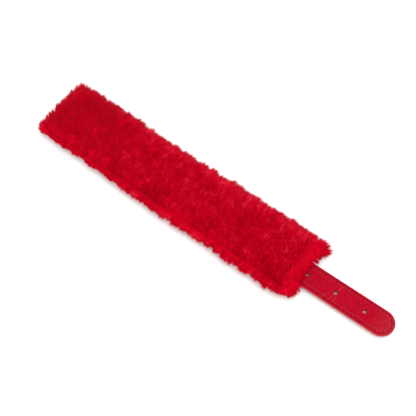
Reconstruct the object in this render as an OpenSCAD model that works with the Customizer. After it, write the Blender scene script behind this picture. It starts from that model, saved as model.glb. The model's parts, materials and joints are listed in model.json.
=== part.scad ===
// Plush-lined padded neck strap with a roller buckle, a keeper, a D-ring and a punched tongue.
// It lies open and flat with the plush up and the hardware down: +X runs to the tongue's tip,
// Y runs across, +Z is up, and the origin is the centre of the footprint on the floor.
// The soft one-piece layers are divided into equal panels so that the pad can wrap round.

/* [Pad] */
// Length of the plush lining, pile included
pad_len = 296; // [276:1:330]
// Width of the plush lining, pile included
pad_w = 64; // [60:1:80]
// Height of the plush lining above the outer band
plush_h = 11.8; // [8:0.1:14]
// Radius of the pad's corners, seen from above
pad_corner = 11; // [7:0.5:14]
// How far the pile stands past the edge of the outer band
pile_overhang = 5; // [3:0.5:6]
// Thickness of the outer band
band_t = 1.4; // [1:0.1:2]
// Thickness of the foam between the outer band and the plush
foam_t = 3; // [2:0.1:4]
// Distance from the edge of the outer band to the foam, where the seam runs
seam_margin = 5.5; // [4:0.5:8]

/* [Strap] */
// Width of the strap
strap_w = 25; // [22:0.5:30]
// Thickness of one ply of the strap
ply_t = 1.2; // [1:0.1:1.4]
// Length of the tongue, from the end of the outer band to the tip
tongue_len = 91.5; // [91.5:0.5:140]
// Distance from the tip to the nearest adjusting hole
hole_end = 28.7; // [20:0.1:28.7]
// Distance between adjusting holes
hole_pitch = 29.4; // [15:0.1:29.4]
// Radius of an adjusting hole
hole_r = 1.75; // [1.5:0.05:2.5]

/* [Buckle] */
// Distance from the left end of the outer band to the buckle's heel bar
bar_inset = 23; // [22.5:0.1:23]
// Radius of the buckle's wire
wire_r = 1.5; // [1.4:0.05:1.6]
// Distance between the heel bar and the roller's bar
frame_reach = 19; // [17:0.5:19]
// Outer radius of the roller
roller_r = 2.5; // [2.3:0.05:2.6]
// Radius of the prong
prong_r = 1.1; // [1:0.05:1.2]
// Width of the keeper
keeper_w = 9.5; // [8:0.5:9.5]
// Clear height inside the keeper, under the strap
keeper_gap = 4.2; // [4.2:0.1:4.2]

/* [D-ring] */
// Distance from the pad's centre to the D-ring's straight bar, towards the buckle
ring_inset = 4; // [2:0.5:6]
// Radius of the D-ring's wire
ring_wire_r = 1.4; // [1.2:0.05:1.4]
// Width of the leather tab that holds the D-ring
tab_w = 20; // [16:0.5:20]

/* [Rivets] */
// Radius of a rivet's outer cap
cap_r = 4; // [3.5:0.1:4]
// Height of a rivet's outer cap
cap_h = 1.6; // [1.2:0.1:1.6]
// Radius of a rivet's post
post_r = 1.5; // [1.2:0.05:1.6]

/* [Hidden] */
$fn = 48;

plush_red = [0.74, 0.02, 0.12];
leather_red = [0.70, 0.03, 0.12];
foam_grey = [0.85, 0.84, 0.80];
steel = [0.78, 0.78, 0.80];

eps = 0.01;
far = 400;              // longer than anything it cuts
fit = 0.08;             // radial clearance of a bar in an eye, a fold or a roller
panels = 5;
panel_gap = 0.1;        // slit between neighbouring panels
wrap_max = 60;          // turn at each panel hinge
mitre = wrap_max / 2 + 0.5;
tongue_back = 20.5;     // mitre that lets the tongue bend outward

// Lengths and places along X
band_len = pad_len - 2 * pile_overhang;
band_w = pad_w - 2 * pile_overhang;
panel_len = band_len / panels;
pad_x = -(band_len / 2 + tongue_len - pad_len / 2) / 2;
band_left = pad_x - band_len / 2;
band_right = pad_x + band_len / 2;
tip_x = band_right + tongue_len;
bar_x = band_left + bar_inset;
ring_x = pad_x - ring_inset;

// Folded ends: a ply runs flat over the bar, turns round it and comes back under itself
fold_slope = 24;
prong_lift = 0.15;      // gap between the prong and the roller at rest
prong_offset = 2;       // the prong's axis passes this far from the heel bar's axis
prong_past = 2.5;       // the prong reaches this far past the roller's axis
prong_angle = asin((roller_r + prong_r + prong_lift - prong_offset) / frame_reach);
prong_len = frame_reach + prong_past;
prong_depth = prong_offset * cos(prong_angle) + prong_len * sin(prong_angle) + prong_r;
bar_below = wire_r + fit - ply_t;                 // heel bar's axis below the strap's outer face
tab_depth = 2 * (ring_wire_r + fit) + 2 * ply_t;  // D-ring tab below the strap's outer face

// Heights
strap_z = max(bar_below + prong_depth, tab_depth, keeper_gap + ply_t);
strap_t = 2 * ply_t;
pivot_z = strap_z + strap_t;                      // the band's outer face, where the panels hinge
band_top = pivot_z + band_t;
foam_top = band_top + foam_t;
plush_top = band_top + plush_h;
bar_z = strap_z - bar_below;
ring_z = strap_z - ply_t - ring_wire_r - fit;

// Rivets: [distance along X, distance across Y]
rivet_row = 6.2;
fold_clear = 12;        // heel bar to the rivets that close the fold
fold_return = 16.5;     // heel bar to the end of the ply that comes back
keeper_x = bar_x + fold_return + 0.5 + keeper_w / 2;
buckle_rivets = [[bar_x + fold_clear, -rivet_row], [bar_x + fold_clear, rivet_row]];
tab_return = 26;        // D-ring's bar to the end of its tab
ring_rivets = [[ring_x + 12, 0], [ring_x + 21, 0]];
end_rivets = [[band_right - 18, -rivet_row], [band_right - 18, rivet_row]];
all_rivets = concat(buckle_rivets, ring_rivets, end_rivets);
back_r = 3.5;
back_h = 1;

function panel_from(i) = band_left + (i - 1) * panel_len;

// Filled rectangle with round corners, centred
module rounded_rect(w, h, r) {
  square([w - 2 * r, h], center = true);
  square([w, h - 2 * r], center = true);
  for (sx = [-1, 1], sy = [-1, 1])
    translate([sx * (w / 2 - r), sy * (h / 2 - r)]) circle(r);
}

// Extrudes an outline drawn in X and Z across the strap
module across(w) {
  rotate([90, 0, 0]) linear_extrude(w, center = true) children();
}

// Extrudes an outline drawn in Y and Z along the strap
module along(len) {
  rotate([90, 0, 90]) linear_extrude(len, center = true) children();
}

// Cylinder along Y through a point of the XZ plane
module bar(x, z, r, len) {
  translate([x, 0, z]) rotate([90, 0, 0]) cylinder(r = r, h = len, center = true);
}

// Space of one panel below the hinge line: straight ends, open past the pad's own ends
module panel_block(i) {
  from = i == 1 ? band_left - far : panel_from(i) + panel_gap / 2;
  to = i == panels ? band_right + far : panel_from(i + 1) - panel_gap / 2;
  translate([from, -far / 2, -eps]) cube([to - from, far, far]);
}

// Space of one panel above the hinge line: its inner ends lean back so that the panels can close
module panel_wedge(i) {
  lean = tan(mitre);
  h = plush_top;
  from = i == 1 ? band_left - far : panel_from(i) + panel_gap / 2;
  to = i == panels ? band_right + far : panel_from(i + 1) - panel_gap / 2;
  across(far) polygon([
    [from, pivot_z],
    [to, pivot_z],
    [to - (i == panels ? 0 : h * lean), pivot_z + h],
    [from + (i == 1 ? 0 : h * lean), pivot_z + h]
  ]);
}

// Rivet holes through every layer of the strap and the band
module rivet_holes() {
  for (p = all_rivets)
    translate([p[0], p[1], -eps]) cylinder(r = post_r + fit, h = band_top + 2 * eps);
}

// --- soft layers ---------------------------------------------------------------------------

module outer_band(i) {
  color(leather_red) intersection() {
    difference() {
      translate([pad_x, 0, pivot_z]) linear_extrude(band_t)
        rounded_rect(band_len, band_w, pad_corner - pile_overhang);
      rivet_holes();
    }
    panel_wedge(i);
  }
}

module foam_core(i) {
  color(foam_grey) intersection() {
    difference() {
      translate([pad_x, 0, band_top]) linear_extrude(foam_t)
        rounded_rect(band_len - 2 * seam_margin, band_w - 2 * seam_margin, 3);
      for (p = all_rivets)
        translate([p[0], p[1], band_top - eps]) cylinder(r = back_r + 0.2, h = back_h + 0.1);
    }
    panel_wedge(i);
  }
}

// Pile and backing: a rounded pad whose rim comes down round the foam to the seam
module plush_lining(i) {
  side_r = 5;
  cover = 0.3;
  color(plush_red) difference() {
    intersection() {
      hull() for (sx = [-1, 1], sy = [-1, 1], z = [band_top + side_r, band_top + plush_h - side_r])
        translate([pad_x + sx * (pad_len / 2 - pad_corner), sy * (pad_w / 2 - pad_corner), z])
          rotate_extrude($fn = 32) translate([pad_corner - side_r, 0]) rotate(90) circle(side_r, $fn = 24);
      panel_block(i);
    }
    translate([pad_x, 0, band_top - eps]) linear_extrude(foam_t + cover)
      rounded_rect(band_len - 2 * seam_margin + 2 * cover, band_w - 2 * seam_margin + 2 * cover, 3);
  }
}

// --- strap ---------------------------------------------------------------------------------

// A ply that runs flat above a bar, turns round it and lies back under itself
module folded_ply(bx, bz, r_in, top_end, low_end, w) {
  r_out = r_in + ply_t;
  top = bz + r_out;
  mid = top - ply_t;
  low = mid - ply_t;
  outer_run = (low - bz + r_out * cos(fold_slope)) / sin(fold_slope);
  inner_run = (mid - bz + r_in * cos(fold_slope)) / sin(fold_slope);
  function leaving(r, run) =
    [bx + r * sin(fold_slope) + run * cos(fold_slope), bz - r * cos(fold_slope) + run * sin(fold_slope)];
  difference() {
    union() {
      bar(bx, bz, r_out, w);
      across(w) polygon([
        [bx, bz], leaving(r_out, 0), leaving(r_out, outer_run),
        [low_end, low], [low_end, mid], [top_end, mid], [top_end, top], [bx, top]
      ]);
    }
    bar(bx, bz, r_in, w + 2);
    across(w + 2) polygon([[bx, bz], leaving(r_in, 0), leaving(r_in, inner_run), [bx, mid]]);
  }
}

module strap_face(i) {
  slot_w = 5.2;
  slot_reach = 5;
  color(leather_red) difference() {
    if (i == 1)
      folded_ply(bar_x, bar_z, wire_r + fit, bar_x + fold_return, panel_from(2) - panel_gap / 2, strap_w);
    else
      intersection() {
        translate([band_left, -strap_w / 2, strap_z]) cube([band_len, strap_w, ply_t]);
        panel_block(i);
      }
    if (i == 1)
      translate([bar_x - far, -slot_w / 2, -eps]) cube([far + slot_reach, slot_w, far]);
    rivet_holes();
  }
}

module strap_backing(i) {
  start = keeper_x + keeper_w / 2 + 0.5;
  color(leather_red) difference() {
    intersection() {
      translate([start, -strap_w / 2, strap_z + ply_t]) cube([band_right - start, strap_w, ply_t]);
      panel_block(i);
    }
    rivet_holes();
  }
}

// One ply of the tongue: round tip, three punched holes, and a start that leans forward
module tongue_ply(z) {
  difference() {
    translate([0, 0, z]) linear_extrude(ply_t) {
      translate([band_right, -strap_w / 2]) square([tongue_len - strap_w / 2, strap_w]);
      translate([tip_x - strap_w / 2, 0]) circle(strap_w / 2);
    }
    across(far) polygon([
      [band_right - 1, pivot_z + eps],
      [band_right + panel_gap / 2, pivot_z + eps],
      [band_right + panel_gap / 2 + (strap_t + eps) * tan(tongue_back), strap_z - eps],
      [band_right - 1, strap_z - eps]
    ]);
    for (k = [0 : 2])
      translate([tip_x - hole_end - k * hole_pitch, 0, -eps]) cylinder(r = hole_r, h = far);
  }
}

module tongue_face() {
  color(leather_red) tongue_ply(strap_z);
}

module tongue_backing() {
  color(leather_red) tongue_ply(strap_z + ply_t);
}

// --- buckle --------------------------------------------------------------------------------

// Quarter bend of round wire in the XY plane, from +X round to +Y
module quarter_bend(bend_r, r) {
  rotate_extrude(angle = 90) translate([bend_r, 0]) circle(r);
}

// Closed loop of round wire: heel bar, two sides and the bar that carries the roller
module buckle_frame() {
  side_y = strap_w / 2 + 0.8 + wire_r;
  heel_bend = 2;
  end_bend = 3;
  end_x = bar_x - frame_reach;
  color(steel) {
    bar(bar_x, bar_z, wire_r, 2 * (side_y - heel_bend));
    bar(end_x, bar_z, wire_r, 2 * (side_y - end_bend));
    for (s = [-1, 1]) {
      translate([end_x + end_bend, s * side_y, bar_z])
        rotate([0, 90, 0]) cylinder(r = wire_r, h = frame_reach - end_bend - heel_bend);
      translate([end_x + end_bend, s * (side_y - end_bend), bar_z])
        rotate(s == 1 ? 90 : 180) quarter_bend(end_bend, wire_r);
      translate([bar_x - heel_bend, s * (side_y - heel_bend), bar_z])
        rotate(s == 1 ? 0 : 270) quarter_bend(heel_bend, wire_r);
    }
  }
}

module buckle_roller() {
  len = strap_w - 1;
  color(steel) difference() {
    bar(bar_x - frame_reach, bar_z, roller_r, len);
    bar(bar_x - frame_reach, bar_z, wire_r + fit, len + 1);
  }
}

// Eye round the heel bar and a straight pin that rests across the roller
module buckle_prong() {
  eye_r = 2.65;
  eye_w = 3.6;
  color(steel) difference() {
    union() {
      bar(bar_x, bar_z, eye_r, eye_w);
      translate([bar_x, 0, bar_z]) rotate([0, -prong_angle, 0]) translate([0, 0, -prong_offset]) {
        rotate([0, -90, 0]) cylinder(r = prong_r, h = prong_len);
        translate([-prong_len, 0, 0]) sphere(prong_r);
      }
    }
    bar(bar_x, bar_z, wire_r + fit, strap_w);
  }
}

// Closed loop round the strap: its upper run lies between the strap's plies
module keeper_loop() {
  slack = 0.6;
  in_w = strap_w + 2 * slack;
  in_h = keeper_gap + ply_t;
  mid_z = strap_z + ply_t - in_h / 2;
  color(leather_red) translate([keeper_x, 0, mid_z]) along(keeper_w) difference() {
    rounded_rect(in_w + 2 * ply_t, in_h + 2 * ply_t, 1.5);
    rounded_rect(in_w, in_h, 0.5);
  }
}

// --- D-ring --------------------------------------------------------------------------------

module d_ring() {
  arc_r = strap_w / 2 + ring_wire_r;
  bend_r = 2.5;
  color(steel) translate([ring_x, 0, ring_z]) {
    bar(0, 0, ring_wire_r, 2 * (arc_r - bend_r));
    for (s = [-1, 1])
      translate([-bend_r, s * (arc_r - bend_r), 0]) rotate(s == 1 ? 0 : 270) quarter_bend(bend_r, ring_wire_r);
    translate([-bend_r, 0, 0]) rotate(90) rotate_extrude(angle = 180)
      translate([arc_r, 0]) circle(ring_wire_r);
  }
}

module d_ring_tab() {
  color(leather_red) difference() {
    folded_ply(ring_x, ring_z, ring_wire_r + fit, ring_x + tab_return, ring_x + tab_return, tab_w);
    rivet_holes();
  }
}

// --- rivets --------------------------------------------------------------------------------

// Domed outer caps under face_z, each with the post that runs up through the layers
module rivet_posts(places, face_z) {
  rim = 0.6;
  dome = cap_h - rim;
  dome_r = (cap_r * cap_r + dome * dome) / (2 * dome);
  color(steel) for (p = places) translate([p[0], p[1], face_z]) {
    cylinder(r = post_r, h = band_top - face_z);
    translate([0, 0, -rim]) cylinder(r = cap_r, h = rim);
    intersection() {
      translate([0, 0, -cap_h + dome_r]) sphere(dome_r, $fn = 96);
      translate([0, 0, -cap_h]) cylinder(r = cap_r, h = dome);
    }
  }
}

// Flat caps on the band's inner face, sunk into the foam
module rivet_backs(places) {
  color(steel) for (p = places)
    translate([p[0], p[1], band_top]) cylinder(r = back_r, h = back_h);
}

outer_band(1);  // outer_band_1
outer_band(2);  // outer_band_2
outer_band(3);  // outer_band_3
outer_band(4);  // outer_band_4
outer_band(5);  // outer_band_5
foam_core(1);  // foam_core_1
foam_core(2);  // foam_core_2
foam_core(3);  // foam_core_3
foam_core(4);  // foam_core_4
foam_core(5);  // foam_core_5
plush_lining(1);  // plush_lining_1
plush_lining(2);  // plush_lining_2
plush_lining(3);  // plush_lining_3
plush_lining(4);  // plush_lining_4
plush_lining(5);  // plush_lining_5
strap_face(1);  // strap_face_1
strap_face(2);  // strap_face_2
strap_face(3);  // strap_face_3
strap_face(4);  // strap_face_4
strap_face(5);  // strap_face_5
strap_backing(1);  // strap_backing_1
strap_backing(2);  // strap_backing_2
strap_backing(3);  // strap_backing_3
strap_backing(4);  // strap_backing_4
strap_backing(5);  // strap_backing_5
tongue_face();
tongue_backing();
buckle_frame();
buckle_prong();
buckle_roller();
keeper_loop();
d_ring();
d_ring_tab();
rivet_posts(buckle_rivets, strap_z);  // buckle_rivet_posts
rivet_backs(buckle_rivets);  // buckle_rivet_backs
rivet_posts(ring_rivets, strap_z - strap_t);  // d_ring_rivet_posts
rivet_backs(ring_rivets);  // d_ring_rivet_backs
rivet_posts(end_rivets, strap_z);  // end_rivet_posts
rivet_backs(end_rivets);  // end_rivet_backs
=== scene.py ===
"""Plush-lined padded neck strap: soft layers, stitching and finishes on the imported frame.

All lengths in this script are millimetres in the model's own frame until a mesh is made.
"""
import json
import math

import bmesh
import bpy
import numpy as np
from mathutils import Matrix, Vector


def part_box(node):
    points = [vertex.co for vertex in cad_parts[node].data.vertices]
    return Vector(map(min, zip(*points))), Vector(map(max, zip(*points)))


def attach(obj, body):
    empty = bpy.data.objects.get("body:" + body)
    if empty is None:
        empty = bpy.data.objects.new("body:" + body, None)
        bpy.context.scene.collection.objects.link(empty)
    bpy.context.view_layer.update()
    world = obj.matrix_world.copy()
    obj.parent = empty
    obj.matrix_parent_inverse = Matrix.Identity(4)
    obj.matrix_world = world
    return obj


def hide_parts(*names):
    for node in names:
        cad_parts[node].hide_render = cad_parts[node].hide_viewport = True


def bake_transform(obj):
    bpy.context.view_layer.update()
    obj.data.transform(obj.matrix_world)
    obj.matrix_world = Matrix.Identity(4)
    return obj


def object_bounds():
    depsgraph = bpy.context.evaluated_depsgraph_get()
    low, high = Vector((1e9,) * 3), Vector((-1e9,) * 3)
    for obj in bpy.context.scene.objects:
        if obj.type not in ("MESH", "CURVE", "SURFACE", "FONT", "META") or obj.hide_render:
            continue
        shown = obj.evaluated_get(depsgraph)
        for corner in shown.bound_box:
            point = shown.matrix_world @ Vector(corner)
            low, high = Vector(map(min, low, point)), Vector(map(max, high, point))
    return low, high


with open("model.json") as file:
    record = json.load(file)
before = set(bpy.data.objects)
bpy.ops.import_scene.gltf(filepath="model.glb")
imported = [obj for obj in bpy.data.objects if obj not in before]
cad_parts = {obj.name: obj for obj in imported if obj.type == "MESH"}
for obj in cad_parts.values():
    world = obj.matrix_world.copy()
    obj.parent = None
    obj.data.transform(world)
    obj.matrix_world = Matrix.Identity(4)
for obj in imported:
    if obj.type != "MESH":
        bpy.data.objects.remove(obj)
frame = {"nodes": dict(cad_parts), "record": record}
cad_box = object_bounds()

MM = 0.001
SEED = 20


# --- places and sizes, read from the frame ---------------------------------------------------

def node_box(name):
    """Lowest and highest corner of a CAD node, in millimetres."""
    low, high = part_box(name)
    return np.array(low) / MM, np.array(high) / MM


def joint_place(name):
    for joint in frame["record"]["behaviour"]["joints"]:
        if joint["name"] == name:
            return np.array(joint["pos_m"]) / MM
    raise KeyError(name)


band_low, band_high = node_box("outer_band_1")
BAND_L = band_low[0]
BAND_R = node_box("outer_band_5")[1][0]
BAND_HALF = band_high[1]
BAND_BOTTOM = band_low[2]
BAND_TOP = band_high[2]
BAND_CORNER = 6.0
BAND_OUTLINE = (BAND_L, BAND_R, BAND_HALF, BAND_CORNER)
FOAM_TOP = node_box("foam_core_1")[1][2]
FOAM_HALF = node_box("foam_core_1")[1][1]
FOAM_L = node_box("foam_core_1")[0][0]
FOAM_R = node_box("foam_core_5")[1][0]
STRAP_HALF = node_box("tongue_face")[1][1]
STRAP_BOTTOM = node_box("tongue_face")[0][2]
STRAP_TOP = node_box("tongue_backing")[1][2]
TIP_X = node_box("tongue_face")[1][0]
TIP_CENTRE = TIP_X - STRAP_HALF
PLY = (STRAP_TOP - STRAP_BOTTOM) / 2

HINGES = [joint_place(n)[0] for n in
          ("wrap_left_outer", "wrap_left_inner", "wrap_right_inner", "wrap_right_outer", "tongue_flex")]
PANEL = HINGES[1] - HINGES[0]
MIDS = [h + PANEL / 2 for h in HINGES[:4]]      # middles of panels 2 to 5

# Where each soft layer bends: two bodies, then how far before and after the hinge it does so
BENDS = [
    ("panel_1", "panel_2", 6.0, 12.0),
    ("panel_2", "panel_3", 12.0, 4.5),
    ("panel_3", "panel_4", 5.5, 12.0),
    ("panel_4", "panel_5", 12.0, 12.0),
    ("panel_5", "tongue", 4.0, 7.0),
]

HOLES = [np.array(m["pos_m"]) / MM for m in frame["record"]["mounts"] if m["kind"] == "bore"]
HOLE_R = 1.75

PIN_GAP = 0.08          # between a bar and the leather folded round it
BAR = joint_place("buckle_swing")
BAR_R = 1.5 + PIN_GAP
RING = joint_place("d_ring_swing")
RING_R = 1.4 + PIN_GAP

SEAM_IN = 3.0           # plush seam, inside the edge of the band
STITCH_IN = 3.0         # strap stitches, inside the strap's edge
GAP = 0.02              # left between layers that lie on each other
TIP_HIGHLIGHT_LEN = 24           # length of the painted highlight at the tongue's end
FOLD_EDGE = 0.3         # rounding along the edges of a folded ply


# --- mesh helpers ----------------------------------------------------------------------------

def put_in_scene(name, data):
    obj = bpy.data.objects.new(name, data)
    bpy.context.scene.collection.objects.link(obj)
    return obj


def make_mesh(name, points, faces, smooth=True):
    """New object from points in millimetres."""
    mesh = bpy.data.meshes.new(name)
    mesh.from_pydata([tuple(p) for p in np.asarray(points) * MM], [], faces)
    mesh.update()
    mesh.shade_smooth() if smooth else mesh.shade_flat()
    return put_in_scene(name, mesh)


def mark_wear(obj, distance_in):
    """Stores how deep each vertex of the leather lies in the stitched groove, which gets painted shade, and a
    lighter mark: painted highlight on the ridge beside the stitches and towards the tongue's end, and lighter
    wear with painted highlight along the edge.
    """
    points = np.array([v.co for v in obj.data.vertices]) / MM
    d = distance_in(points)
    # Lighter towards the tongue's end: painted highlight
    tip_highlight = 0.18 * np.clip((points[:, 0] - TIP_X + TIP_HIGHLIGHT_LEN) / TIP_HIGHLIGHT_LEN, 0, 1)
    fields = {
        # Painted shade in the stitch groove
        "groove": dent(d, STITCH_IN, 1.0, 0.3),
        # Painted highlight on the ridge beside the stitches and at the tongue's end; along the edge, lighter
        # wear with painted highlight
        "wear_and_highlight": dent(d, 0, 0.35, 0.3) + dent(d, STITCH_IN + 0.8, 0.32, 0.3) + tip_highlight,
    }
    for name, values in fields.items():
        obj.data.attributes.new(name, "FLOAT", "POINT").data.foreach_set("value", values.astype(np.float32))


def flat_points(mesh):
    flat = np.empty(len(mesh.vertices) * 3, np.float32)
    mesh.vertices.foreach_get("co", flat)
    return flat


def keep_rest_place(obj):
    """Stores each vertex's place at rest, which the materials read, so patterns stay on the piece."""
    flat = flat_points(obj.data)
    obj.data.attributes.new("rest_mm", "FLOAT_VECTOR", "POINT").data.foreach_set("vector", flat / MM)


def weld(obj, gap=0.002):
    b = bmesh.new()
    b.from_mesh(obj.data)
    bmesh.ops.remove_doubles(b, verts=b.verts, dist=gap * MM)
    bmesh.ops.recalc_face_normals(b, faces=b.faces)
    b.to_mesh(obj.data)
    b.free()


def bend(obj, k):
    """Bakes a piece's placement into its mesh; hinge k's entry in BENDS is read but not used."""
    a, b, before, after = BENDS[k]
    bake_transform(obj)


def stations(x0, x1, step):
    return np.linspace(x0, x1, max(2, int(round((x1 - x0) / step)) + 1))


def rounded_distance(x, y, x0, x1, half, corner):
    """Distance inward from the edge of a rounded rectangle, and the outward direction there."""
    cx, hx = (x0 + x1) / 2, (x1 - x0) / 2
    qx = np.abs(x - cx) - (hx - corner)
    qy = np.abs(y) - (half - corner)
    px, py = np.maximum(qx, 0), np.maximum(qy, 0)
    length = np.hypot(px, py)
    inside = np.minimum(np.maximum(qx, qy), 0)
    d = corner - length - inside
    along_x = (qx > qy) & (length == 0)
    nx = np.where(length > 0, px / np.maximum(length, 1e-9), along_x.astype(float)) * np.sign(x - cx)
    ny = np.where(length > 0, py / np.maximum(length, 1e-9), (~along_x).astype(float)) * np.sign(y)
    return d, nx, ny


def plate(name, xs, half_at, distance, insets, z_top, z_bottom, cap_left=False, cap_right=False):
    """Closed sheet over columns at xs. Each column spans +-half_at(x); z_top and z_bottom give the two
    faces' heights from the distance inward from the edge."""
    halves = np.array([half_at(x) for x in xs])
    full = max(halves.max(), 1e-6)
    shares = 1 - np.array(insets) / full
    shares = np.concatenate([-shares, shares[::-1][1:] if shares[-1] < 1e-9 else shares[::-1]])
    n = len(shares)
    points, faces = [], []
    for x, half in zip(xs, halves):
        ys = shares * half
        d = np.maximum(distance(np.full(n, x), ys), 0)
        points += [(x, y, z) for y, z in zip(ys, z_top(d, x, ys))]
        points += [(x, y, z) for y, z in zip(ys[::-1], z_bottom(d, x, ys)[::-1])]
    ring = 2 * n
    for i in range(len(xs) - 1):
        for j in range(ring):
            a, b = i * ring + j, i * ring + (j + 1) % ring
            faces.append((a, b, b + ring, a + ring))
    for wanted, i in ((cap_left, 0), (cap_right, len(xs) - 1)):
        if wanted:
            first, last = i * ring, i * ring + ring - 1
            faces += [(first + j, first + j + 1, last - 1 - j, last - j) for j in range(n - 1)]
    obj = make_mesh(name, points, faces)
    weld(obj)
    return obj


def cross_section(width, groove):
    """Closed outline of a leather strip, as (across, up) pairs round its middle."""
    half, t, edge = width / 2, PLY / 2, FOLD_EDGE
    side = [(half - edge + edge * math.sin(a), t - edge + edge * math.cos(a))
            for a in np.linspace(0, math.pi / 2, 5)]
    inner = [0.0, half * 0.5] + [half - groove + step for step in (-0.6, -0.25, 0, 0.25, 0.6)]
    dip = [0.18 * math.exp(-((half - y - groove) / 0.3) ** 2) for y in inner]
    top = [(y, t - g) for y, g in zip(inner, dip)] + side
    right = top + [(y, -z) for y, z in reversed(top)]
    left = [(-y, z) for y, z in reversed(right)]
    loop = right[:-1] + left[:-1]
    out = []
    for p in loop:
        if not out or math.dist(p, out[-1]) > 1e-6:
            out.append(p)
    return out if math.dist(out[0], out[-1]) > 1e-6 else out[:-1]


def sweep(name, path, ups, sides, section, closed=False):
    """Strip with a cross-section carried along a path; ups and sides are its two directions."""
    k = len(section)
    across = np.array([p[0] for p in section])[:, None]
    up = np.array([p[1] for p in section])[:, None]
    points = np.concatenate([p + across * s + up * u for p, u, s in zip(path, ups, sides)])
    n = len(path)
    faces = []
    for i in range(n if closed else n - 1):
        i2 = (i + 1) % n
        for j in range(k):
            j2 = (j + 1) % k
            faces.append((i * k + j, i * k + j2, i2 * k + j2, i2 * k + j))
    if not closed:
        faces += [tuple(range(k)), tuple((n - 1) * k + j for j in reversed(range(k)))]
    obj = make_mesh(name, points, faces)
    weld(obj)
    return obj


def join(objs, name):
    """One object out of several."""
    with bpy.context.temp_override(active_object=objs[0], selected_editable_objects=objs, object=objs[0]):
        bpy.ops.object.join()
    objs[0].name = name
    objs[0].data.name = name
    return objs[0]


def cut_with(obj, cutter):
    """Removes the cutter's volume from obj and deletes the cutter."""
    mod = obj.modifiers.new("cut", "BOOLEAN")
    mod.operation = "DIFFERENCE"
    mod.solver = "EXACT"
    mod.object = cutter
    bpy.context.view_layer.update()
    graph = bpy.context.evaluated_depsgraph_get()
    done = bpy.data.meshes.new_from_object(obj.evaluated_get(graph))
    obj.modifiers.clear()
    obj.data = done
    done.name = obj.name
    bpy.data.objects.remove(cutter)


def rod(name, centre, radius, height, sides=32):
    """Upright cylinder, used only to cut holes."""
    ring = [(centre[0] + radius * math.cos(a), centre[1] + radius * math.sin(a))
            for a in np.linspace(0, 2 * math.pi, sides, endpoint=False)]
    points = [(x, y, centre[2] + s * height / 2) for s in (-1, 1) for x, y in ring]
    faces = [tuple(reversed(range(sides))), tuple(range(sides, 2 * sides))]
    faces += [(j, (j + 1) % sides, sides + (j + 1) % sides, sides + j) for j in range(sides)]
    return make_mesh(name, points, faces, smooth=False)


# --- materials -------------------------------------------------------------------------------

def feed(socket, value):
    """Links another node's output to a socket, or sets the socket's own value."""
    if isinstance(value, bpy.types.NodeSocket):
        socket.id_data.links.new(value, socket)
    else:
        socket.default_value = value


def fill(node, values):
    """Gives a node its inputs and properties by name."""
    for key, value in values.items():
        if key in node.inputs:
            feed(node.inputs[key], value)
        else:
            setattr(node, key, value)
    return node


def add(tree, kind, **values):
    return fill(tree.nodes.new(kind), values)


def new_material(name, color, roughness):
    mat = bpy.data.materials.new(name)
    mat.use_nodes = True
    shader = mat.node_tree.nodes["Principled BSDF"]
    fill(shader, {"Base Color": (*color, 1), "Roughness": roughness})
    return mat, mat.node_tree, shader


def scaled(color, by):
    return tuple(by * c for c in color)


def stored(tree, name, output="Fac"):
    """A value that the mesh keeps at each of its points."""
    return add(tree, "ShaderNodeAttribute", attribute_name=name).outputs[output]


def rest_vector(tree):
    return stored(tree, "rest_mm", "Vector")


def ramp(tree, factor, stops):
    """Colours between stops of (place, colour), where a plain number stands for a grey."""
    node = add(tree, "ShaderNodeValToRGB", Fac=factor)
    elements = node.color_ramp.elements
    elements.remove(elements[0])
    for i, (at, color) in enumerate(stops):
        element = elements[0] if i == 0 else elements.new(at)
        element.position = at
        element.color = (*(color if isinstance(color, tuple) else (color,) * 3), 1)
    return node.outputs["Color"]


def noise(tree, vector, scale, detail=3.0, rough=0.55):
    node = add(tree, "ShaderNodeTexNoise", Scale=scale, Detail=detail, Roughness=rough, Vector=vector)
    return node.outputs["Fac"]


def cells(tree, vector, scale, feature="F1"):
    node = add(tree, "ShaderNodeTexVoronoi", feature=feature, Scale=scale, Vector=vector)
    return node.outputs["Distance"]


def stretched(tree, vector, scale):
    node = add(tree, "ShaderNodeMapping", vector_type="POINT", Scale=scale, Vector=vector)
    return node.outputs["Vector"]


def math_node(tree, operation, *values):
    node = add(tree, "ShaderNodeMath", operation=operation)
    for socket, value in zip(node.inputs, values):
        feed(socket, value)
    return node.outputs[0]


def times(tree, a, b):
    return math_node(tree, "MULTIPLY", a, b)


def mix_color(tree, factor, a, b):
    node = add(tree, "ShaderNodeMix", data_type="RGBA", Factor=factor)
    for socket, value in ((node.inputs[6], a), (node.inputs[7], b)):
        feed(socket, (*value, 1) if isinstance(value, tuple) else value)
    return node.outputs[2]


def bump(tree, height, distance_mm, strength, normal=None):
    node = add(tree, "ShaderNodeBump", Strength=strength, Distance=distance_mm * MM, Height=height)
    if normal is not None:
        feed(node.inputs["Normal"], normal)
    return node.outputs["Normal"]


def rough_from(tree, pattern, low, span):
    """Roughness that runs from low, where the pattern is 0, to low + span, where it is 1."""
    return math_node(tree, "MULTIPLY_ADD", pattern, span, low)


def crease_lines(tree, place):
    """Fold creases across the tongue beside the middle hole: 1 on a crease, falling to 0 beside it."""
    axes = add(tree, "ShaderNodeSeparateXYZ", Vector=place).outputs
    wobble = noise(tree, place, 0.35, 2.0)
    total = None
    for offset, slope, y_low, y_high in CREASES:
        x = math_node(tree, "SUBTRACT", axes["X"], HOLES[1][0] + offset)
        x = math_node(tree, "SUBTRACT", x, times(tree, axes["Y"], slope))
        x = math_node(tree, "SUBTRACT", x, times(tree, wobble, 1.2))
        near = math_node(tree, "SUBTRACT", 1.0, times(tree, math_node(tree, "ABSOLUTE", x), 2.6))
        inside = times(tree, math_node(tree, "GREATER_THAN", axes["Y"], y_low),
                       math_node(tree, "LESS_THAN", axes["Y"], y_high))
        line = times(tree, math_node(tree, "MAXIMUM", near, 0.0), inside)
        total = line if total is None else math_node(tree, "MAXIMUM", total, line)
    return total


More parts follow.
